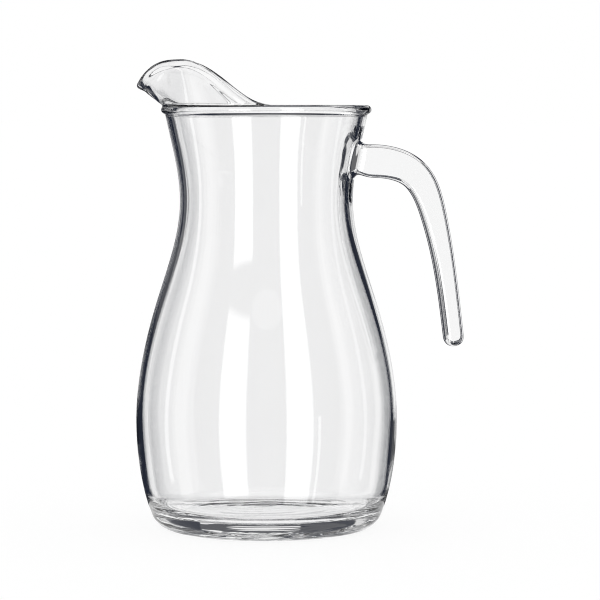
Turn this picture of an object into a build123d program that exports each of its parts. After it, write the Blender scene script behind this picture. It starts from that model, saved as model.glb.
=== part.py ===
from build123d import *

import os
from math import cos, exp, pi, radians, sin

# A large glass water jug: a blown vessel with a heavy pushed-up base, a full belly, a drawn-in neck and a
# beaded mouth whose front is drawn up into an ice lip, and a solid glass handle that is fused to the neck
# and hangs free below it. All of it is clear glass, so there are no fasteners, seals or moving pieces.
#
# Frame: +Z up, origin on the vessel's axis in the plane that the jug stands on. The lip pours towards -X,
# the handle is on +X, and XZ is the plane of symmetry. Millimetres.

os.makedirs("parts", exist_ok=True)

# ---- vessel, outside ---------------------------------------------------------------------------------
BELLY_R, BELLY_Z = 72.5, 61.0
SHOULDER_R, SHOULDER_Z = 60.7, 126.6  # where the wall turns from convex to hollow
WAIST_R, WAIST_Z = 47.9, 181.0  # narrowest part of the neck
NECK_TOP_R, NECK_TOP_Z = 55.9, 229.5  # the wall just under the bead
LOWER_WALL_R, LOWER_WALL_Z = 69.7, 29.0
NECK_FLARE = 0.2  # how fast the neck opens at its top, radius for height

FOOT_INNER_R, FOOT_OUTER_R = 47.5, 52.5  # the ring that it stands on
HEEL_R, HEEL_TURN = 12.2, 68.0  # the rounding from the foot into the wall
PUSH_UP = 4.0  # hollow under the base
DOME_SHARE = 0.75  # what a shallow dome still has of its rise halfway out

# ---- vessel, inside ----------------------------------------------------------------------------------
BASE_TOP_Z = 16.0  # where the base's thick glass has thinned to the bowl's wall
WALL_TOP, WALL_WAIST, WALL_SHOULDER, WALL_BELLY, WALL_LOWER = 4.5, 4.5, 3.9, 3.2, 3.4
FLOOR_MID_Z, FLOOR_EDGE_Z, FLOOR_R = 12.4, 11.0, 55.0
CORNER_R, CORNER_TURN = 9.0, 66.0  # the rounding from the floor into the wall

# ---- mouth -------------------------------------------------------------------------------------------
RIM_Z = 234.0  # top of the bead
BEAD_R, BEAD_WIDEST_Z = 58.2, 231.9
ROOT_OUTER_R, ROOT_INNER_R = 57.1, 53.6  # the flat on top of the bead, where the lip grows from it
ROOT_MIDDLE_R = (ROOT_OUTER_R + ROOT_INNER_R) / 2
BEAD_INNER_Z, BEAD_INNER_ROUND = 231.6, 3.2  # where the mouth's inner edge starts to round over

# ---- ice lip, by its angle round the mouth from the pouring direction, in degrees ----------------------
LIP_RISE = 25.4  # height of the lip's crest over the bead
CREST_X, FADE_X = 46.0, -3.5  # towards the spout: where the crest is, and where the lip has run out
TIP_DROP, TIP_WIDTH = 13.3, 14.0  # the pouring tip lies lower than the crest
BEAK_REACH, BEAK_WIDTH, BEAK_FLARE = 16.3, 22.0, 2.2  # the beak runs forward and flattens at its edge
LEAN, LEAN_ANGLE, LEAN_WIDTH, LEAN_CURL = 6.2, 55.0, 18.0, 0.9  # the sides lean in to hold back ice
BEAK_ROOT_FLARE = 0.9  # how fast the beak runs forward where it leaves the bead, reach for height
LIP_EDGE_WALL = 4.2
LIP_EDGE_ROUND = 0.42  # how far the free edge is rounded, as a part of its wall
LOWEST_LIP_ROUND = 0.5  # and where the lip is lower than that, as a part of its height
ROOT_TUCK = 1.0  # the lip's sections start this far below the bead's top and are trimmed at it
LIP_STATIONS = range(-90, 91, 10)

# ---- handle ------------------------------------------------------------------------------------------
# the bar's middle line, X and Z, from the seal over the bend and down to its end
HANDLE_LINE = [(58.0, 203.8), (80.3, 197.6), (92.3, 174.0), (98.7, 143.5), (104.2, 101.4)]
HANDLE_END_WAY = (0.12, -1)
HANDLE_DEPTH_ROOT, HANDLE_DEPTH_TIP, HANDLE_TAPER = 18.3, 11.3, 55.0
HANDLE_WIDTH_ROOT, HANDLE_WIDTH_TIP = 19.0, 13.5
HANDLE_CORNER = 0.4  # corner radius of the section, as a part of its depth
HANDLE_TIP_ROUND = 4.4
HANDLE_SECTIONS = 12
ROOT_START_X, ROOT_SECTIONS = 47.0, 5  # the root starts inside the wall and is trimmed by it
ROOT_FLARE, ROOT_FLARE_LENGTH, ROOT_FLARE_LIFT = 15.0, 4.6, 0.1  # the seal swells, more above than below
ROOT_TILT = 0.2  # the root's sections lean with the neck's wall

# ---- the vessel's wall -------------------------------------------------------------------------------
def wall_outside():
    """The outside of the vessel from the axis to just under the bead, as connected edges."""
    push_up = ThreePointArc((0, PUSH_UP), (FOOT_INNER_R / 2, PUSH_UP * DOME_SHARE), (FOOT_INNER_R, 0))
    foot = Line(push_up @ 1, (FOOT_OUTER_R, 0))
    heel = JernArc(foot @ 1, (1, 0), HEEL_R, HEEL_TURN)
    return Spline(
        heel @ 1,
        (LOWER_WALL_R, LOWER_WALL_Z),
        (BELLY_R, BELLY_Z),
        (SHOULDER_R, SHOULDER_Z),
        (WAIST_R, WAIST_Z),
        (NECK_TOP_R, NECK_TOP_Z),
        tangents=[heel % 1, (NECK_FLARE, 1)],
    )


with BuildPart() as vessel_blank:
    with BuildSketch(Plane.XZ):
        with BuildLine():
            wall = wall_outside()
            Polyline(wall @ 1, (0, NECK_TOP_Z), (0, PUSH_UP))
        make_face()
    revolve(axis=Axis.Z)

with BuildPart() as vessel:
    add(vessel_blank.part)
    with BuildSketch(Plane.XZ):
        with BuildLine():
            floor_rise = FLOOR_MID_Z - FLOOR_EDGE_Z
            floor = ThreePointArc(
                (0, FLOOR_MID_Z),
                (FLOOR_R / 2, FLOOR_EDGE_Z + floor_rise * DOME_SHARE),
                (FLOOR_R, FLOOR_EDGE_Z),
            )
            corner = JernArc(floor @ 1, (1, 0), CORNER_R, CORNER_TURN)
            inside = Spline(
                corner @ 1,
                (LOWER_WALL_R - WALL_LOWER, LOWER_WALL_Z),
                (BELLY_R - WALL_BELLY, BELLY_Z),
                (SHOULDER_R - WALL_SHOULDER, SHOULDER_Z),
                (WAIST_R - WALL_WAIST, WAIST_Z),
                (NECK_TOP_R - WALL_TOP, NECK_TOP_Z),
                tangents=[corner % 1, (NECK_FLARE, 1)],
            )
            Polyline(inside @ 1, (0, NECK_TOP_Z), (0, FLOOR_MID_Z))
        make_face()
    revolve(axis=Axis.Z, mode=Mode.SUBTRACT)


# ---- base: the heavy pushed-up bottom, up to where the wall has thinned --------------------------------
with BuildPart() as base:
    add(vessel.part)
    split(bisect_by=Plane.XY.offset(BASE_TOP_Z), keep=Keep.BOTTOM)

# ---- bowl: belly and neck ------------------------------------------------------------------------------
with BuildPart() as bowl:
    add(vessel.part)
    split(bisect_by=Plane.XY.offset(BASE_TOP_Z), keep=Keep.TOP)

# ---- rim bead: the thick ring round the mouth ----------------------------------------------------------
with BuildPart() as rim_bead:
    with BuildSketch(Plane.XZ):
        with BuildLine():
            outer_bead = ThreePointArc(
                (NECK_TOP_R, NECK_TOP_Z), (BEAD_R, BEAD_WIDEST_Z), (ROOT_OUTER_R, RIM_Z)
            )
            top_flat = Line(outer_bead @ 1, (ROOT_INNER_R, RIM_Z))
            inner_round = RadiusArc(top_flat @ 1, (NECK_TOP_R - WALL_TOP, BEAD_INNER_Z), -BEAD_INNER_ROUND)
            Polyline(inner_round @ 1, (NECK_TOP_R - WALL_TOP, NECK_TOP_Z), (NECK_TOP_R, NECK_TOP_Z))
        make_face()
    revolve(axis=Axis.Z)


# ---- ice lip -------------------------------------------------------------------------------------------
def bell(angle, middle, width):
    """A smooth hump of height 1 that fades away on both sides of the middle."""
    return exp(-(((angle - middle) / width) ** 2))


def lip_edge(angle):
    """Radius and height over the bead of the lip's free edge."""
    lean = bell(abs(angle), LEAN_ANGLE, LEAN_WIDTH)
    radius = ROOT_MIDDLE_R + BEAK_REACH * bell(angle, 0, BEAK_WIDTH) - LEAN * lean
    behind_crest = max(CREST_X - radius * cos(radians(angle)), 0) / (CREST_X - FADE_X)
    height = LIP_RISE * (1 + cos(pi * behind_crest)) / 2 - TIP_DROP * bell(angle, 0, TIP_WIDTH)
    return radius, height


def lip_section(angle):
    """The lip's wall cut by an upright plane through the axis, rounded at its free edge."""
    edge_r, edge_h = lip_edge(angle)
    beak = bell(angle, 0, BEAK_WIDTH)
    lean = bell(abs(angle), LEAN_ANGLE, LEAN_WIDTH)
    root_wall = ROOT_OUTER_R - ROOT_INNER_R
    edge_wall = root_wall + (LIP_EDGE_WALL - root_wall) * edge_h / LIP_RISE
    root_way = Vector(BEAK_ROOT_FLARE * beak, 1).normalized()
    edge_way = Vector(BEAK_FLARE * beak - LEAN_CURL * lean, 1).normalized()
    across = Vector(-edge_way.Y, edge_way.X)  # from the outside to the inside, square to the wall
    edge_round = edge_way * min(LIP_EDGE_ROUND * edge_wall, LOWEST_LIP_ROUND * edge_h)
    edge_middle = Vector(edge_r, edge_h) - edge_round
    outer_edge = edge_middle - across * (edge_wall / 2)
    inner_edge = edge_middle + across * (edge_wall / 2)
    outward = Vector(-cos(radians(angle)), sin(radians(angle)), 0)
    plane = Plane(origin=(0, 0, RIM_Z), x_dir=outward, z_dir=outward.rotate(Axis.Z, -90))
    with BuildSketch(plane) as section:
        with BuildLine():
            Spline((ROOT_OUTER_R, -ROOT_TUCK), outer_edge, tangents=[root_way, edge_way])
            ThreePointArc(outer_edge, edge_middle + edge_round, inner_edge)
            Spline(inner_edge, (ROOT_INNER_R, -ROOT_TUCK), tangents=[-edge_way, -root_way])
            Line((ROOT_INNER_R, -ROOT_TUCK), (ROOT_OUTER_R, -ROOT_TUCK))
        make_face()
    return section.sketch


with BuildPart() as ice_lip:
    for angle in LIP_STATIONS:
        add(lip_section(angle))
    loft()
    split(bisect_by=Plane.XY.offset(RIM_Z), keep=Keep.TOP)


# ---- handle: a solid bar that swells into its seal on the neck -------------------------------------------
def handle_section(middle, way, along, flare):
    """The bar's section square to its middle line, at a distance along it and with the root's swelling."""
    taper = bell(along, 0, HANDLE_TAPER)
    depth = HANDLE_DEPTH_TIP + (HANDLE_DEPTH_ROOT - HANDLE_DEPTH_TIP) * taper + flare
    width = HANDLE_WIDTH_TIP + (HANDLE_WIDTH_ROOT - HANDLE_WIDTH_TIP) * taper + flare
    with BuildSketch(Plane(origin=middle, x_dir=(0, 1, 0), z_dir=way)) as section:
        RectangleRounded(width, depth, HANDLE_CORNER * depth)
    return section.sketch


with BuildLine(Plane.XZ):
    bar_line = Spline(*HANDLE_LINE, tangents=[(1, 0), HANDLE_END_WAY])

ROOT_END_X, ROOT_Z = HANDLE_LINE[0]

with BuildPart() as handle:
    for step in range(ROOT_SECTIONS):
        left = 1 - step / (ROOT_SECTIONS - 1)
        x = ROOT_END_X - (ROOT_END_X - ROOT_START_X) * left
        flare = ROOT_FLARE * bell(x, ROOT_START_X, ROOT_FLARE_LENGTH) * (left > 0)
        middle = (x, 0, ROOT_Z + ROOT_FLARE_LIFT * flare)
        add(handle_section(middle, (1, 0, -ROOT_TILT * left), 0, flare))
    loft()
    for step in range(HANDLE_SECTIONS):
        at = step / (HANDLE_SECTIONS - 1)
        add(handle_section(bar_line @ at, bar_line % at, bar_line.length * at, 0))
    loft()
    fillet(handle.faces().sort_by(Axis.Z)[0].edges(), HANDLE_TIP_ROUND)
    add(vessel_blank.part, mode=Mode.SUBTRACT)

base.part.label = "base"
export_step(base.part, "parts/base.step")
bowl.part.label = "bowl"
export_step(bowl.part, "parts/bowl.step")
rim_bead.part.label = "rim_bead"
export_step(rim_bead.part, "parts/rim_bead.step")
ice_lip.part.label = "ice_lip"
export_step(ice_lip.part, "parts/ice_lip.step")
handle.part.label = "handle"
export_step(handle.part, "parts/handle.step")
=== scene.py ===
from math import atan2, cos, exp, hypot, pi, radians, sin

import bpy
import numpy as np
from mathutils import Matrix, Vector


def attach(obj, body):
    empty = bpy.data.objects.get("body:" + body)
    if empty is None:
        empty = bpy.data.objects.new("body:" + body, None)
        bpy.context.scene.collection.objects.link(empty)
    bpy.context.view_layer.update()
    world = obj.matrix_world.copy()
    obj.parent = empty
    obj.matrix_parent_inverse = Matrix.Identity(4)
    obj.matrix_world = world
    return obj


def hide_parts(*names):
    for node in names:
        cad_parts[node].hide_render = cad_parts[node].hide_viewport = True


# A clear glass water jug on a pale floor. The vessel's four CAD regions are shown as the one body of glass
# that they are, and the handle as the second gather fused to it. Lengths are millimetres until a mesh is
# made, and angles round the mouth are degrees from the pouring direction, which is -X.

MM = 0.001
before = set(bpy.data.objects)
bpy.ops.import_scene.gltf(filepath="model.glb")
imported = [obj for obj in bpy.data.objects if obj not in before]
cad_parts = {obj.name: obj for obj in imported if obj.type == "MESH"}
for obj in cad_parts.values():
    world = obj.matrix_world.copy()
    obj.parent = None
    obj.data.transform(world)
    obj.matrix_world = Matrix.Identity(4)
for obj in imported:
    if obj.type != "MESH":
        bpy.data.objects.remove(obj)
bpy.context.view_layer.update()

# ---- the vessel's shape, as in the CAD -------------------------------------------------------------------
PUSH_UP, FOOT_INNER_R, FOOT_OUTER_R = 4.0, 47.5, 52.5
HEEL_R, HEEL_TURN = 12.2, 68.0
LOWER_WALL, BELLY, SHOULDER = (69.7, 29.0), (72.5, 61.0), (60.7, 126.6)
WAIST, NECK_TOP = (47.9, 181.0), (55.9, 229.5)
WALLS = {"top": 4.5, "waist": 4.5, "shoulder": 3.9, "belly": 3.2, "lower": 3.4}
NECK_FLARE = 0.2
FLOOR_MID_Z, FLOOR_EDGE_Z, FLOOR_R = 12.4, 11.0, 55.0
CORNER_R, CORNER_TURN = 9.0, 66.0
RIPPLE, RIPPLE_LENGTH = 0.06, 8.5  # the floor's ripple and ridge are only here, not in the CAD
RIDGE, RIDGE_R, RIDGE_WIDTH = 0.25, 53.0, 2.0
BEAD_R, BEAD_WIDEST_Z, RIM_Z = 58.2, 231.9, 234.0
ROOT_OUTER_R, ROOT_INNER_R, BEAD_INNER_Z = 57.1, 52.9, 232.4  # a sharper inner edge than the CAD's
ROOT_MIDDLE_R = (ROOT_OUTER_R + ROOT_INNER_R) / 2
LIP_RISE, CREST_X, FADE_X = 25.4, 46.0, -3.5
TIP_DROP, TIP_WIDTH = 13.3, 14.0
BEAK_REACH, BEAK_WIDTH, BEAK_FLARE = 16.3, 22.0, 2.2
LEAN, LEAN_ANGLE, LEAN_WIDTH, LEAN_CURL = 6.2, 55.0, 18.0, 0.9
BEAK_ROOT_FLARE, BEAK_ROOT_WIDTH = 1.3, 18.0
LIP_EDGE_WALL = 4.2
# the fire polish thickens the lip's edge and not what is under it
LIP_GROOVE, LIP_GROOVE_AT, LIP_GROOVE_WIDTH = 0.35, 4.4, 1.7
EDGE_ROUND = 0.6  # the bead's own rounded top, where there is no lip

# ---- the handle's shape, as in the CAD -------------------------------------------------------------------
HANDLE_LINE = [(58.0, 203.8), (80.3, 197.6), (92.3, 174.0), (98.7, 143.5), (104.2, 101.4)]
HANDLE_DEPTH_ROOT, HANDLE_DEPTH_TIP, HANDLE_TAPER = 18.3, 11.3, 55.0
HANDLE_WIDTH_ROOT, HANDLE_WIDTH_TIP = 19.0, 13.5
TIP_ROUND = 5.6
SEAL_MID_Z, SEAL_HALF_HEIGHT = 204.8, 11.8
SEAL_SQUARENESS = 2.5  # 2 is an ellipse, and more is squarer
OUTER_CORNER, INNER_CORNER, CORNER_TAPER, TIP_CORNER = 1.8, 5.2, 32.0, 1.5
SEAL_BULGE, SEAL_BULGE_HEIGHT, SEAL_BULGE_TURN = 4.0, 17.0, 11.0  # the seal's heat has pushed the neck in

# ---- how finely the glass is meshed ----------------------------------------------------------------------
MERIDIANS = 222
BASE_ROWS, WALL_ROWS, MOUTH_ROWS, FLOOR_ROWS = 52, 76, 132, 46
SEAL_ROWS, SEAL_COLUMNS = 28, 26
MOUTH_START_Z = 223.0
VESSEL_HAND, HANDLE_HAND = -1, 1
CORNER_SMOOTHING = 0.55  # how far fire-polishing has rounded every corner


# ---- curves ----------------------------------------------------------------------------------------------
def smooth_curve(points, first_way, last_way, steps):
    """A curve with steady curvature through the points, leaving and arriving along the given ways."""
    p = np.array(points, float)
    knots = np.concatenate([[0], np.cumsum(np.hypot(*np.diff(p, axis=0).T))])
    gaps = np.diff(knots)
    n = len(p)
    system, wanted = np.zeros((n, n)), np.zeros((n, 2))
    system[0, 0] = system[-1, -1] = 1
    wanted[0] = np.array(first_way) / np.hypot(*first_way)
    wanted[-1] = np.array(last_way) / np.hypot(*last_way)
    for i in range(1, n - 1):
        system[i, i - 1:i + 2] = gaps[i], 2 * (gaps[i - 1] + gaps[i]), gaps[i - 1]
        before, after = gaps[i] * (p[i] - p[i - 1]) / gaps[i - 1], gaps[i - 1] * (p[i + 1] - p[i]) / gaps[i]
        wanted[i] = 3 * (before + after)
    ways = np.linalg.solve(system, wanted)
    at = np.linspace(0, knots[-1], steps)
    i = np.clip(np.searchsorted(knots, at, side="right") - 1, 0, n - 2)
    t = ((at - knots[i]) / gaps[i])[:, None]
    gap = gaps[i][:, None]
    return ((2 * t**3 - 3 * t**2 + 1) * p[i] + (t**3 - 2 * t**2 + t) * gap * ways[i]
            + (3 * t**2 - 2 * t**3) * p[i + 1] + (t**3 - t**2) * gap * ways[i + 1])


def arc_through(a, b, c, steps):
    """The arc from a to c through b."""
    (ax, ay), (bx, by), (cx, cy) = a, b, c
    d = 2 * (ax * (by - cy) + bx * (cy - ay) + cx * (ay - by))
    ux = ((ax**2 + ay**2) * (by - cy) + (bx**2 + by**2) * (cy - ay) + (cx**2 + cy**2) * (ay - by)) / d
    uy = ((ax**2 + ay**2) * (cx - bx) + (bx**2 + by**2) * (ax - cx) + (cx**2 + cy**2) * (bx - ax)) / d
    radius = hypot(ax - ux, ay - uy)
    start, middle, end = (atan2(y - uy, x - ux) for x, y in (a, b, c))
    turn = (end - start) % (2 * pi)
    if (middle - start) % (2 * pi) > turn:
        turn -= 2 * pi
    angles = start + turn * np.linspace(0, 1, steps)
    return np.column_stack([ux + radius * np.cos(angles), uy + radius * np.sin(angles)])


def rising_arc(start, radius, turn, steps):
    """An arc that leaves start along +r and turns up by that many degrees."""
    angles = np.radians(np.linspace(0, turn, steps))
    return np.column_stack([start[0] + radius * np.sin(angles), start[1] + radius * (1 - np.cos(angles))])


def joined(*runs):
    """Runs of points one after the other, each starting where the last one ended."""
    return np.vstack([runs[0]] + [run[1:] for run in runs[1:]])


def spread(path, count, closer=None):
    """The same path with that many points, evenly spaced, or closer where closer(point) is above 1."""
    steps = np.hypot(*np.diff(path, axis=0).T)
    if closer is not None:
        steps = steps * np.array([closer(p) for p in (path[1:] + path[:-1]) / 2])
    along = np.concatenate([[0], np.cumsum(steps)])
    at = np.linspace(0, along[-1], count)
    return np.column_stack([np.interp(at, along, path[:, k]) for k in (0, 1)])


def rounded(path, reach):
    """The path with its corners rounded over about that reach. Its ends stay where they are."""
    length = np.hypot(*np.diff(path, axis=0).T).sum()
    fine = spread(path, int(length / 0.08) + 2)
    step = length / (len(fine) - 1)
    half = int(3 * reach / step) + 1
    weights = np.exp(-((np.arange(-half, half + 1) * step / reach) ** 2) / 2)
    weights /= weights.sum()
    out = np.empty_like(fine)
    for k in (0, 1):
        before = 2 * fine[0, k] - fine[half:0:-1, k]
        after = 2 * fine[-1, k] - fine[-2:-half - 2:-1, k]
        out[:, k] = np.convolve(np.concatenate([before, fine[:, k], after]), weights, "valid")
    return out


# ---- the vessel's meridians ------------------------------------------------------------------------------
def bell(angle, middle, width):
    """A smooth hump of height 1 that fades away on both sides of the middle."""
    return exp(-(((angle - middle) / width) ** 2))


def outside_path():
    """The vessel's outside from the middle of its base to under the bead."""
    dome = arc_through((0, PUSH_UP), (FOOT_INNER_R / 2, 0.75 * PUSH_UP), (FOOT_INNER_R, 0), 200)
    foot = np.array([(FOOT_INNER_R, 0), (FOOT_OUTER_R, 0)])
    heel = rising_arc((FOOT_OUTER_R, 0), HEEL_R, HEEL_TURN, 80)
    way = (cos(radians(HEEL_TURN)), sin(radians(HEEL_TURN)))
    wall = smooth_curve([heel[-1], LOWER_WALL, BELLY, SHOULDER, WAIST, NECK_TOP], way, (NECK_FLARE, 1), 2400)
    return joined(dome, foot, heel, wall)


def inside_path():
    """The vessel's inside from the middle of its floor to level with the bead's underside."""
    halfway = (FLOOR_R / 2, 0.75 * FLOOR_MID_Z + 0.25 * FLOOR_EDGE_Z)
    floor = arc_through((0, FLOOR_MID_Z), halfway, (FLOOR_R, FLOOR_EDGE_Z), 200)
    corner = rising_arc((FLOOR_R, FLOOR_EDGE_Z), CORNER_R, CORNER_TURN, 80)
    way = (cos(radians(CORNER_TURN)), sin(radians(CORNER_TURN)))
    outer = {"lower": LOWER_WALL, "belly": BELLY, "shoulder": SHOULDER, "waist": WAIST, "top": NECK_TOP}
    places = [(radius - WALLS[name], z) for name, (radius, z) in outer.items()]
    wall = smooth_curve([corner[-1]] + places, way, (NECK_FLARE, 1), 2400)
    return joined(floor, corner, wall)


def lip_edge(angle):
    """Radius and height over the bead of the lip's free edge, and nothing past where the lip has run out."""
    lean = LEAN * bell(abs(angle), LEAN_ANGLE, LEAN_WIDTH)
    radius = ROOT_MIDDLE_R + BEAK_REACH * bell(angle, 0, BEAK_WIDTH) - lean
    behind_crest = min(max(CREST_X - radius * cos(radians(angle)), 0) / (CREST_X - FADE_X), 1)
    height = LIP_RISE * (1 + cos(pi * behind_crest)) / 2 - TIP_DROP * bell(angle, 0, TIP_WIDTH)
    return radius, height


def mouth_path(angle):
    """From the bead's underside, round the bead, up the lip, over its edge and down to the inner wall."""
    edge_r, lip_h = lip_edge(angle)
    edge_h = lip_h + EDGE_ROUND * exp(-((lip_h / 3) ** 2))
    beak = bell(angle, 0, BEAK_WIDTH)
    root_wall = ROOT_OUTER_R - ROOT_INNER_R
    edge_wall = root_wall + (LIP_EDGE_WALL - root_wall) * lip_h / LIP_RISE
    root_way = np.array((BEAK_ROOT_FLARE * bell(angle, 0, BEAK_ROOT_WIDTH), 1))
    edge_way = np.array((BEAK_FLARE * beak - LEAN_CURL * bell(abs(angle), LEAN_ANGLE, LEAN_WIDTH), 1))
    edge_way /= np.hypot(*edge_way)
    across = np.array((-edge_way[1], edge_way[0]))
    edge_round = edge_way * min(0.42 * edge_wall, 0.8 * edge_h)
    middle = np.array((edge_r, RIM_Z + edge_h)) - edge_round
    outer_edge, inner_edge = middle - across * edge_wall / 2, middle + across * edge_wall / 2
    under, outer_root, inner_root = NECK_TOP, (ROOT_OUTER_R, RIM_Z), (ROOT_INNER_R, RIM_Z)
    inner_under = (NECK_TOP[0] - WALLS["top"], NECK_TOP[1])
    bead = arc_through(under, (BEAD_R, BEAD_WIDEST_Z), outer_root, 60)
    outer = smooth_curve([outer_root, outer_edge], root_way, edge_way, 200)
    cap = arc_through(outer_edge, middle + edge_round, inner_edge, 40)
    inner = smooth_curve([inner_edge, inner_root], -edge_way, -root_way, 200)
    for side, way in ((outer, across), (inner, -across)):
        below = np.linalg.norm(side - middle, axis=1)
        deep = LIP_GROOVE * min(lip_h / 12, 1) * np.exp(-(((below - LIP_GROOVE_AT) / LIP_GROOVE_WIDTH) ** 2))
        side += deep[:, None] * way
    bead_inside = (inner_under[0], BEAD_INNER_Z)
    inner_round = smooth_curve([inner_root, bead_inside, inner_under], (-1, -0.6), (0, -1), 60)
    return joined(bead, outer, cap, inner, inner_round)


OUTSIDE, INSIDE = outside_path(), inside_path()


def radius_at(path, z):
    """The radius of the wall at a height above the heel."""
    wall = path[np.argmax(path[:, 0] > FOOT_OUTER_R + 2):]
    return float(np.interp(z, wall[:, 1], wall[:, 0]))


def split_at(path, z):
    """The path below and above a height on its wall."""
    cut = len(path) - np.argmax(path[::-1, 1] < z)
    at = np.array([[np.interp(z, path[cut - 1:cut + 1, 1], path[cut - 1:cut + 1, 0]), z]])
    return np.vstack([path[:cut], at]), np.vstack([at, path[cut:]])


def seal_levels():
    """Heights of the wall's rows where the handle is sealed on, and one row past it on each side."""
    step = 2 * SEAL_HALF_HEIGHT / SEAL_ROWS
    return SEAL_MID_Z + step * np.arange(-SEAL_ROWS // 2 - 3, SEAL_ROWS // 2 + 4)


def meridian(angle):
    """One whole section of the vessel, from the middle of the base round to the middle of the floor."""
    outer_low, outer_high = split_at(OUTSIDE, MOUTH_START_Z)
    inner_low, inner_high = split_at(INSIDE, MOUTH_START_Z)
    mouth = rounded(joined(outer_high, mouth_path(angle), inner_high[::-1]), CORNER_SMOOTHING)
    return outer_low, mouth, inner_low[::-1]


def vessel_rows():
    """Radius and height of every row for every meridian, as arrays [meridian, row]."""
    angles = np.arange(MERIDIANS) * 360 / MERIDIANS - 180
    outer_low, _, inner_low = meridian(180)
    base, wall = split_at(rounded(outer_low, CORNER_SMOOTHING), 20.0)
    levels = seal_levels()
    below_seal, rest = split_at(wall, levels[0] - 2)
    seal = np.column_stack([[radius_at(OUTSIDE, z) for z in levels], levels])
    above_seal = split_at(rest, levels[-1] + 1)[1]
    outer = np.vstack([
        spread(base, BASE_ROWS, lambda p: 1 + 2 * (p[0] > FOOT_INNER_R - 4))[1:-1],
        spread(below_seal, WALL_ROWS), seal, spread(above_seal, 3)[:-1]])
    inner_wall, inner_base = split_at(rounded(inner_low, CORNER_SMOOTHING)[::-1], 20.0)[::-1]
    inner = np.vstack([
        spread(inner_wall[::-1], WALL_ROWS + len(levels))[1:-1],
        spread(inner_base[::-1], FLOOR_ROWS, lambda p: 1 + 1.5 * (p[0] > FLOOR_R - 4))[:-1]])
    table = []
    for angle in angles:
        mouth = spread(meridian(angle)[1], MOUTH_ROWS)
        table.append(np.vstack([outer, mouth, inner]))
    return angles, np.array(table), BASE_ROWS - 2 + WALL_ROWS


def seal_share(u, v):
    """How far out a point of the square round the seal moves, so that the square's edge becomes an oval."""
    square = np.maximum(np.abs(u), np.abs(v))
    oval = (np.abs(u) ** SEAL_SQUARENESS + np.abs(v) ** SEAL_SQUARENESS) ** (1 / SEAL_SQUARENESS)
    fade = np.clip(2.6 - 1.6 * square, 0, 1)
    fade = np.where(square <= 1, 1, fade * fade * (3 - 2 * fade))
    return 1 + (square / np.maximum(oval, 1e-9) - 1) * fade


def floor_ripple(radius, way):
    """How far the floor's inside rises over its plain dome: wavy rings, and a ridge where it turns up."""
    wave = 1.5 * np.sin(2 * way + 0.6) + 0.8 * np.sin(3 * way + 2) + 0.4 * np.sin(7 * way)
    rings = np.sin(2 * pi * (radius + 1.6 * wave) / RIPPLE_LENGTH) * np.clip(radius / 12, 0, 1)
    rings *= np.clip((FLOOR_R - radius) / 8, 0, 1)
    ridge = np.exp(-(((radius - RIDGE_R - 0.5 * wave) / RIDGE_WIDTH) ** 2))
    return RIPPLE * rings + RIDGE * ridge


def vessel_points():
    """Every vertex of the vessel but the two on the axis, as [meridian, row, xyz], and the seal's block."""
    angles, table, seal_first = vessel_rows()
    radius, height = table[:, :, 0].copy(), table[:, :, 1].copy()
    way = np.repeat(np.radians(angles)[:, None], radius.shape[1], axis=1)
    # the handle's side is half a turn from the pouring direction, so the seal straddles the table's ends
    turned = (np.degrees(way) % 360) - 180
    seal_half_turn = 360 / MERIDIANS * SEAL_COLUMNS / 2
    rows = slice(seal_first - 8, seal_first + len(seal_levels()) + 2)
    u, v = turned[:, rows] / seal_half_turn, (height[:, rows] - SEAL_MID_Z) / SEAL_HALF_HEIGHT
    share = seal_share(u, v)
    height[:, rows] = SEAL_MID_Z + v * share * SEAL_HALF_HEIGHT
    radius[:, rows] = np.interp(height[:, rows], *OUTSIDE[np.argmax(OUTSIDE[:, 1] > 100):].T[::-1])
    way[:, rows] = np.radians(180 + u * share * seal_half_turn)
    inner = slice(seal_first + len(seal_levels()) + MOUTH_ROWS, None)
    up, turn = (height[:, inner] - SEAL_MID_Z) / SEAL_BULGE_HEIGHT, turned[:, inner] / SEAL_BULGE_TURN
    uneven = 1 + 0.16 * np.sin(4 * up + 2 * turn) + 0.05 * np.sin(9 * up - 3 * turn)
    radius[:, inner] -= SEAL_BULGE * uneven * np.exp(-(up**4) - turn**6)
    height[:, inner] += floor_ripple(radius[:, inner], way[:, inner]) * (height[:, inner] < 20)
    points = np.stack([-radius * np.cos(way), radius * np.sin(way), height], axis=-1)
    return points, seal_first + 3


def along_grid(points, axis, closed):
    """How points change along one axis of a grid, by the parabola through each point and its neighbours."""
    if closed:
        before, after = points - np.roll(points, 1, axis), np.roll(points, -1, axis) - points
    else:
        step = np.diff(points, axis=axis)
        first, last = np.take(step, [0], axis), np.take(step, [-1], axis)
        before, after = np.concatenate([first, step], axis), np.concatenate([step, last], axis)
    a, b = (np.maximum(np.linalg.norm(d, axis=-1, keepdims=True), 1e-9) for d in (before, after))
    return (before * b / a + after * a / b) / (a + b)


def grid_normals(points, outward):
    """Unit normals of a grid whose first axis closes on itself. outward is 1 or -1, by its handedness."""
    normals = np.cross(along_grid(points, 0, True), along_grid(points, 1, False)) * outward
    return normals / np.maximum(np.linalg.norm(normals, axis=-1, keepdims=True), 1e-12)


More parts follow.
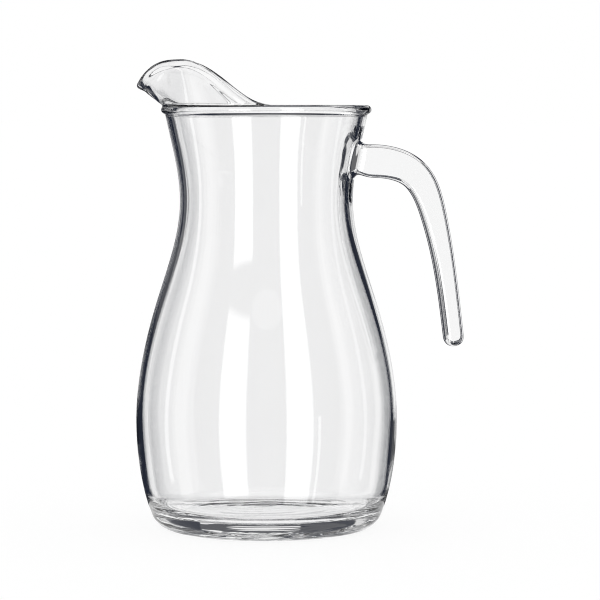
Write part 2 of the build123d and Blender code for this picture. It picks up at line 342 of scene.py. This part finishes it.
def glass_mesh(name, points, normals, faces, materials, contact):
    """A closed mesh in metres, smooth by its exact normals. contact lists the faces against other glass."""
    mesh = bpy.data.meshes.new(name)
    mesh.from_pydata([tuple(p) for p in np.asarray(points) * MM], [], faces)
    for material in materials:
        mesh.materials.append(material)
    mesh.shade_smooth()
    slots = np.zeros(len(faces), np.int32)
    slots[list(contact)] = 1
    mesh.polygons.foreach_set("material_index", slots)
    mesh.update()
    corners = np.empty(len(mesh.loops), np.int32)
    mesh.loops.foreach_get("vertex_index", corners)
    shown = np.asarray(normals)[corners]
    for i in contact:
        face = mesh.polygons[i]
        shown[face.loop_start:face.loop_start + face.loop_total] = face.normal
    mesh.normals_split_custom_set(shown.tolist())
    piece = bpy.data.objects.new(name, mesh)
    bpy.context.scene.collection.objects.link(piece)
    return piece


def square_loop(columns, rows):
    """The border of a block of columns by rows, in order, as (column, row)."""
    up = [(columns, row) for row in range(rows)]
    back = [(column, rows) for column in range(columns, 0, -1)]
    down = [(0, row) for row in range(rows, 0, -1)]
    forth = [(column, 0) for column in range(columns)]
    return up + back + down + forth


def make_vessel(materials):
    """The vessel's glass, and the vertices of the block where the handle is sealed on."""
    points, seal_row = vessel_points()
    count, rows = points.shape[:2]
    index = np.arange(count * rows).reshape(count, rows)
    vertices = np.vstack([points.reshape(-1, 3), [(0, 0, PUSH_UP), (0, 0, FLOOR_MID_Z)]])
    bottom, floor = count * rows, count * rows + 1
    faces, contact = [], []
    block = {(-SEAL_COLUMNS // 2 + i) % count for i in range(SEAL_COLUMNS)}
    for i in range(count):
        j = (i + 1) % count
        for row in range(rows - 1):
            if i in block and seal_row <= row < seal_row + SEAL_ROWS:
                contact.append(len(faces))
            faces.append((index[i, row], index[i, row + 1], index[j, row + 1], index[j, row]))
        faces.append((bottom, index[i, 0], index[j, 0]))
        faces.append((floor, index[j, -1], index[i, -1]))
    patch = [[points[(-SEAL_COLUMNS // 2 + c) % count, seal_row + r] for r in range(SEAL_ROWS + 1)]
             for c in range(SEAL_COLUMNS + 1)]
    faces = [tuple(int(v) for v in face) for face in faces]
    normals = np.vstack([grid_normals(points, VESSEL_HAND).reshape(-1, 3), [(0, 0, -1), (0, 0, 1)]])
    return glass_mesh("vessel_glass", vertices, normals, faces, materials, contact), np.array(patch)


# ---- the handle ------------------------------------------------------------------------------------------
def make_handle(patch, materials):
    """The handle's glass: its contact face, the flare of the seal, the tapering bar and the rounded end."""
    columns, rows = patch.shape[0] - 1, patch.shape[1] - 1
    border = square_loop(columns, rows)
    count = len(border)
    # the block's columns run from +Y to -Y or back: the bar's own sides follow the patch
    side = np.sign(patch[-1, 0, 1] - patch[0, 0, 1])
    square = np.array([(side * (2 * c / columns - 1), 2 * r / rows - 1) for c, r in border])
    eased = np.sin(square * pi / 2)
    line = smooth_curve(HANDLE_LINE, (1, 0), (0.12, -1), 800)
    along = np.concatenate([[0], np.cumsum(np.hypot(*np.diff(line, axis=0).T))])

    def bar_ring(distance, scale=1.0, narrower=0.0, past=0.0):
        """The bar's outline at a distance along it, with the way that it runs there."""
        x, z = (np.interp(distance, along, line[:, k]) for k in (0, 1))
        step = 0.5
        ends = [[np.interp(d, along, line[:, k]) for k in (0, 1)] for d in (distance - step, distance + step)]
        way = np.array(ends[1]) - np.array(ends[0])
        way /= np.hypot(*way)
        taper = bell(distance, 0, HANDLE_TAPER)
        depth = HANDLE_DEPTH_TIP + (HANDLE_DEPTH_ROOT - HANDLE_DEPTH_TIP) * taper
        width = HANDLE_WIDTH_TIP + (HANDLE_WIDTH_ROOT - HANDLE_WIDTH_TIP) * taper
        outward = np.array((-way[1], way[0]))
        inner_corner = INNER_CORNER + (OUTER_CORNER - INNER_CORNER) * bell(distance, 0, CORNER_TAPER)
        corner = np.where(square[:, 1] > 0, OUTER_CORNER, inner_corner)
        half = np.array((width / 2 - narrower, depth / 2 * scale))
        radius = np.minimum(corner, half[1])[:, None]
        flat = eased * half
        core = np.clip(flat, radius - half, half - radius)
        off = flat - core
        flat = core + off / np.maximum(np.linalg.norm(off, axis=1), 1e-9)[:, None] * radius
        ring = np.zeros((count, 3))
        ring[:, 1] = flat[:, 0]
        ring[:, 0] = x + outward[0] * flat[:, 1] + way[0] * past
        ring[:, 2] = z + outward[1] * flat[:, 1] + way[1] * past
        return ring, np.array((way[0], 0, way[1]))

    root = np.array([patch[c, r] for c, r in border])
    middle = patch[columns // 2, rows // 2]
    first, way = bar_ring(1.5)
    inward = middle - root
    normal = root * (1, 1, 0)
    normal /= np.linalg.norm(normal, axis=1)[:, None]
    normal[:, 2] = -NECK_FLARE
    normal /= np.linalg.norm(normal, axis=1)[:, None]
    inward -= (inward * normal).sum(1)[:, None] * normal
    inward /= np.linalg.norm(inward, axis=1)[:, None]
    rings = [root]
    for t in np.linspace(0, 1, 16)[1:]:
        reach = np.linalg.norm(first - root, axis=1)[:, None]
        a, b = root + inward * reach * 0.55, first - way * reach * 0.6
        rings.append((1 - t)**3 * root + 3 * t * (1 - t)**2 * a + 3 * t * t * (1 - t) * b + t**3 * first)
    end = along[-1] - TIP_ROUND
    rings += [bar_ring(d)[0] for d in np.linspace(1.5, end, 260)[1:]]
    for turn in np.radians(np.linspace(0, 84, 13)[1:]):
        rings.append(bar_ring(end, cos(turn) ** 0.8, TIP_CORNER * (1 - cos(turn)), TIP_ROUND * sin(turn))[0])
    vertices = np.vstack(rings + [rings[-1].mean(0)[None]])
    faces = []
    for k in range(len(rings) - 1):
        for i in range(count):
            j = (i + 1) % count
            faces.append((k * count + i, k * count + j, (k + 1) * count + j, (k + 1) * count + i))
    last, tip = (len(rings) - 1) * count, len(vertices) - 1
    faces += [(last + i, last + (i + 1) % count, tip) for i in range(count)]
    number = {place: i for i, place in enumerate(border)}
    inner = [(c, r) for c in range(1, columns) for r in range(1, rows)]
    for i, (c, r) in enumerate(inner):
        number[(c, r)] = len(vertices) + i
    vertices = np.vstack([vertices, [patch[c, r] for c, r in inner]])
    contact = range(len(faces), len(faces) + columns * rows)
    for c in range(columns):
        for r in range(rows):
            faces.append(tuple(number[p] for p in ((c, r), (c, r + 1), (c + 1, r + 1), (c + 1, r))))
    normals = np.zeros_like(vertices)
    around = grid_normals(np.array(rings).swapaxes(0, 1), HANDLE_HAND)
    normals[:len(rings) * count] = around.swapaxes(0, 1).reshape(-1, 3)
    normals[tip] = bar_ring(end)[1]
    normals[tip + 1:] = 1, 0, 0
    return glass_mesh("handle_glass", vertices, normals, faces, materials, contact)


# ---- materials -------------------------------------------------------------------------------------------
def new_material(name):
    """An empty node material and its node tree."""
    material = bpy.data.materials.new(name)
    material.use_nodes = True
    material.node_tree.nodes.clear()
    return material, material.node_tree


def glass_material():
    """Clear soda-lime glass: faintly wavy, a little cooler in the thick, and not perfectly even in polish."""
    material, tree = new_material("clear_glass")
    nodes, link = tree.nodes, tree.links.new
    output, shader = nodes.new("ShaderNodeOutputMaterial"), nodes.new("ShaderNodeBsdfPrincipled")
    shader.inputs["Transmission Weight"].default_value = 1
    shader.inputs["IOR"].default_value = 1.51
    shader.inputs["Base Color"].default_value = (0.998, 0.998, 0.999, 1)
    place, drawn = nodes.new("ShaderNodeTexCoord"), nodes.new("ShaderNodeMapping")
    drawn.inputs["Scale"].default_value = (22, 22, 9)
    link(place.outputs["Object"], drawn.inputs["Vector"])
    waves = nodes.new("ShaderNodeTexNoise")
    waves.inputs["Scale"].default_value = 1
    waves.inputs["Detail"].default_value = 1.5
    link(drawn.outputs["Vector"], waves.inputs["Vector"])
    bump = nodes.new("ShaderNodeBump")
    bump.inputs["Strength"].default_value = 0.25
    bump.inputs["Distance"].default_value = 0.0006
    link(waves.outputs["Fac"], bump.inputs["Height"])
    link(bump.outputs["Normal"], shader.inputs["Normal"])
    polish = nodes.new("ShaderNodeMapRange")
    polish.inputs["To Min"].default_value, polish.inputs["To Max"].default_value = 0.0, 0.006
    link(waves.outputs["Fac"], polish.inputs["Value"])
    link(polish.outputs["Result"], shader.inputs["Roughness"])
    link(shader.outputs["BSDF"], output.inputs["Surface"])
    return material


def contact_material():
    """Where the two gathers of glass have run together there is no surface, so light goes straight on."""
    material, tree = new_material("glass_contact")
    output, through = tree.nodes.new("ShaderNodeOutputMaterial"), tree.nodes.new("ShaderNodeBsdfTransparent")
    tree.links.new(through.outputs["BSDF"], output.inputs["Surface"])
    return material


materials = [glass_material(), contact_material()]
vessel, seal_patch = make_vessel(materials)
handle = make_handle(seal_patch, materials)
for piece, nodes in ((vessel, ("base", "bowl", "rim_bead", "ice_lip")), (handle, ("handle",))):
    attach(piece, "root")
    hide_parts(*nodes)


# ---- studio ----------------------------------------------------------------------------------------------
def make_camera():
    """A long lens a little above the rim, level with the jug's middle and to the right of its axis."""
    camera = bpy.data.objects.new("camera", bpy.data.cameras.new("camera"))
    bpy.context.scene.collection.objects.link(camera)
    camera.location = Vector((18.6, -1560, 236)) * MM
    aim = Vector((18.6, 0, 126.64)) * MM - camera.location
    camera.rotation_euler = aim.to_track_quat("-Z", "Y").to_euler()
    camera.data.lens, camera.data.sensor_width = 169.1, 36
    bpy.context.scene.camera = camera


def math_node(tree, operation, *values):
    """A Math node with its inputs set or linked, as its output."""
    node = tree.nodes.new("ShaderNodeMath")
    node.operation = operation
    for socket, value in zip(node.inputs, values):
        if isinstance(value, (int, float)):
            socket.default_value = value
        else:
            tree.links.new(value, socket)
    return node.outputs[0]


def ramp_between(tree, value, low, high, at_low, at_high):
    """Smoothly from one number to another as value goes from low to high."""
    node = tree.nodes.new("ShaderNodeMapRange")
    node.interpolation_type = "SMOOTHSTEP"
    for name, number in (("From Min", low), ("From Max", high), ("To Min", at_low), ("To Max", at_high)):
        node.inputs[name].default_value = number
    tree.links.new(value, node.inputs["Value"])
    return node.outputs[0]


# Each panel of light: azimuth from +Y towards +X, elevation, how soft its edges are, and its radiance.
# What the glass shows straight through it is white only where a backdrop stands behind it: for the
# photograph's view, the other three sides and two raised corners. From between those it shows the dark room.
BACKDROPS = {
    "main_view": (-26, 26, -32, 17, 3, 1.0),
    "left_view": (-108, -72, -32, 17, 3, 1.0),
    "right_view": (72, 108, -32, 17, 3, 1.0),
    "back_view": (160, 200, -32, 17, 3, 1.0),
    "high_view_from_front": (-65, -25, -45, -10, 3, 1.0),
    "high_view_from_back": (115, 155, -45, -10, 3, 1.0),
    "overhead": (-180, 180, 32, 90, 6, 0.9),
    "underneath": (-180, 180, -90, -60, 10, 0.6),
}
# What it reflects is the studio: panels behind and beside it.
STUDIO = {
    "back": (-12, 24, -8, 4.5, 1, 0.9),
    "back_middle": (-52, 24, 4.5, 9.5, 0.5, 0.09),
    "back_high": (-12, 24, 9.5, 17, 0.5, 0.9),
    "back_low": (-10, 24, -75, -8, 2, 0.15),
    "left_near": (-53, -40, -45, 40, 2, 0.75),
    "left_far": (-106, -90, -45, 40, 2, 0.6),
    "right_side": (52, 106, -45, 40, 2, 0.75),
    "overhead": (-180, 180, 55, 90, 10, 0.9),
    "underneath": (-180, 180, -90, -60, 10, 0.6),
}
# And its outermost surface also shows the softboxes and strip lights.
LAMPS = {
    "left_line": (-85, -80, -20, 40, 2, 1.8),
    "right_line": (80, 85, -20, 40, 2, 1.8),
    "softbox_left": (-163, -139, -30, 28, 3, 4.0),
    "softbox_right": (138, 162, -60, 50, 3, 4.0),
    "thin_right": (131, 133.5, -45, 0, 1, 2.5),
}
ROOM_BEHIND, ROOM_IN_FRONT = 0.0, 0.17
ROOM_COLOUR = (0.028, 0.034, 0.052, 1)  # what is left of the room in the dark gaps
NEAR_FLOOR = 0.1  # the floor that the glass shows; past it the studio is dark, which draws the lip's edge


def window(tree, value, low, high, soft):
    """1 between low and high, and 0 outside, with soft edges."""
    rise = ramp_between(tree, value, low - soft / 2, low + soft / 2, 0, 1)
    fall = ramp_between(tree, value, high - soft / 2, high + soft / 2, 1, 0)
    return math_node(tree, "MULTIPLY", rise, fall)


def panel_light(tree, azimuth, elevation, panels, room):
    """The brightest of the room's light and every panel that lies in a direction."""
    total = room
    for left, right, low, high, soft, radiance in panels:
        seen = window(tree, elevation, low, high, soft)
        if right - left < 360:
            middle = (left + right) / 2
            turned = math_node(tree, "WRAP", azimuth, middle + 180, middle - 180)
            seen = math_node(tree, "MULTIPLY", seen, window(tree, turned, left, right, soft))
        total = math_node(tree, "MAXIMUM", total, math_node(tree, "MULTIPLY", seen, radiance))
    return total


def chosen(tree, factor, first, second):
    """The first value where the factor is 0 and the second where it is 1."""
    mixed = tree.nodes.new("ShaderNodeMix")
    for socket, value in zip(("Factor", "A", "B"), (factor, first, second)):
        tree.links.new(value, mixed.inputs[socket])
    return mixed.outputs["Result"]


def make_world():
    """White panels with dark gaps between them, which draw the glass's edges, and white overhead."""
    world = bpy.data.worlds.new("studio")
    bpy.context.scene.world = world
    world.use_nodes = True
    tree = world.node_tree
    tree.nodes.clear()
    output, light = tree.nodes.new("ShaderNodeOutputWorld"), tree.nodes.new("ShaderNodeBackground")
    room_light, both = tree.nodes.new("ShaderNodeBackground"), tree.nodes.new("ShaderNodeAddShader")
    light.inputs["Color"].default_value = (1, 1, 1, 1)
    room_light.inputs["Color"].default_value = ROOM_COLOUR
    split = tree.nodes.new("ShaderNodeSeparateXYZ")
    tree.links.new(tree.nodes.new("ShaderNodeTexCoord").outputs["Generated"], split.inputs[0])
    x, y, z = split.outputs
    azimuth = math_node(tree, "MULTIPLY", math_node(tree, "ARCTAN2", x, y), 180 / pi)
    elevation = math_node(tree, "MULTIPLY", math_node(tree, "ARCSINE", z), 180 / pi)
    path = tree.nodes.new("ShaderNodeLightPath").outputs
    backdrop = panel_light(tree, azimuth, elevation, BACKDROPS.values(), ROOM_BEHIND)
    room = ramp_between(tree, y, -0.3, 0.3, ROOM_IN_FRONT, ROOM_BEHIND)
    studio = panel_light(tree, azimuth, elevation, STUDIO.values(), room)
    lamps = panel_light(tree, azimuth, elevation, LAMPS.values(), studio)
    inside = math_node(tree, "GREATER_THAN", path["Transmission Depth"], 0.5)
    reflected = math_node(tree, "GREATER_THAN", path["Glossy Depth"], 0.5)
    seen = chosen(tree, reflected, backdrop, chosen(tree, inside, lamps, studio))
    lit = math_node(tree, "MAXIMUM", seen, path["Is Camera Ray"])
    tree.links.new(lit, light.inputs["Strength"])
    dark = math_node(tree, "SUBTRACT", 1, math_node(tree, "MINIMUM", math_node(tree, "MULTIPLY", lit, 4), 1))
    tree.links.new(dark, room_light.inputs["Strength"])
    tree.links.new(light.outputs["Background"], both.inputs[0])
    tree.links.new(room_light.outputs["Background"], both.inputs[1])
    tree.links.new(both.outputs["Shader"], output.inputs["Surface"])


def floor_material():
    """Pale matt paper, lit from below as well, with a faint mottle."""
    material, tree = new_material("pale_floor")
    output, mix = tree.nodes.new("ShaderNodeOutputMaterial"), tree.nodes.new("ShaderNodeMixShader")
    matt, glow = tree.nodes.new("ShaderNodeBsdfDiffuse"), tree.nodes.new("ShaderNodeEmission")
    place, mottle = tree.nodes.new("ShaderNodeTexCoord"), tree.nodes.new("ShaderNodeTexNoise")
    shade = tree.nodes.new("ShaderNodeMapRange")
    mottle.inputs["Scale"].default_value = 40
    tree.links.new(place.outputs["Object"], mottle.inputs["Vector"])
    tree.links.new(mottle.outputs["Fac"], shade.inputs["Value"])
    shade.inputs["To Min"].default_value, shade.inputs["To Max"].default_value = 0.78, 0.82
    tree.links.new(shade.outputs["Result"], matt.inputs["Color"])
    glow.inputs["Strength"].default_value = 1.08
    mix.inputs[0].default_value = 0.85
    tree.links.new(matt.outputs[0], mix.inputs[1])
    tree.links.new(glow.outputs[0], mix.inputs[2])
    tree.links.new(mix.outputs[0], output.inputs["Surface"])
    return material


def make_floor():
    """A broad pale floor. The glass shows only the part of it close by."""
    material, rim = floor_material(), 48
    turns = [2 * pi * i / rim for i in range(rim)]
    for name, inner, outer in (("near_floor", 0.0, NEAR_FLOOR), ("far_floor", NEAR_FLOOR, 30.0)):
        mesh = bpy.data.meshes.new(name)
        if inner:
            points = [(r * cos(turn), r * sin(turn), 0.0) for r in (inner, outer) for turn in turns]
            faces = [(i, rim + i, rim + (i + 1) % rim, (i + 1) % rim) for i in range(rim)]
        else:
            points = [(outer * cos(turn), outer * sin(turn), 0.0) for turn in turns]
            faces = [tuple(range(rim))]
        mesh.from_pydata(points, [], faces)
        mesh.materials.append(material)
        floor = bpy.data.objects.new(name, mesh)
        bpy.context.scene.collection.objects.link(floor)
        floor.visible_transmission = floor.visible_glossy = not inner


make_camera()
make_world()
make_floor()

scene = bpy.context.scene
scene.view_settings.view_transform = "Standard"
scene.view_settings.gamma = 0.85
scene.cycles.filter_width = 1.1
scene.cycles.max_bounces = 24
scene.cycles.transmission_bounces = 24
scene.cycles.glossy_bounces = 16
scene.cycles.transparent_max_bounces = 32
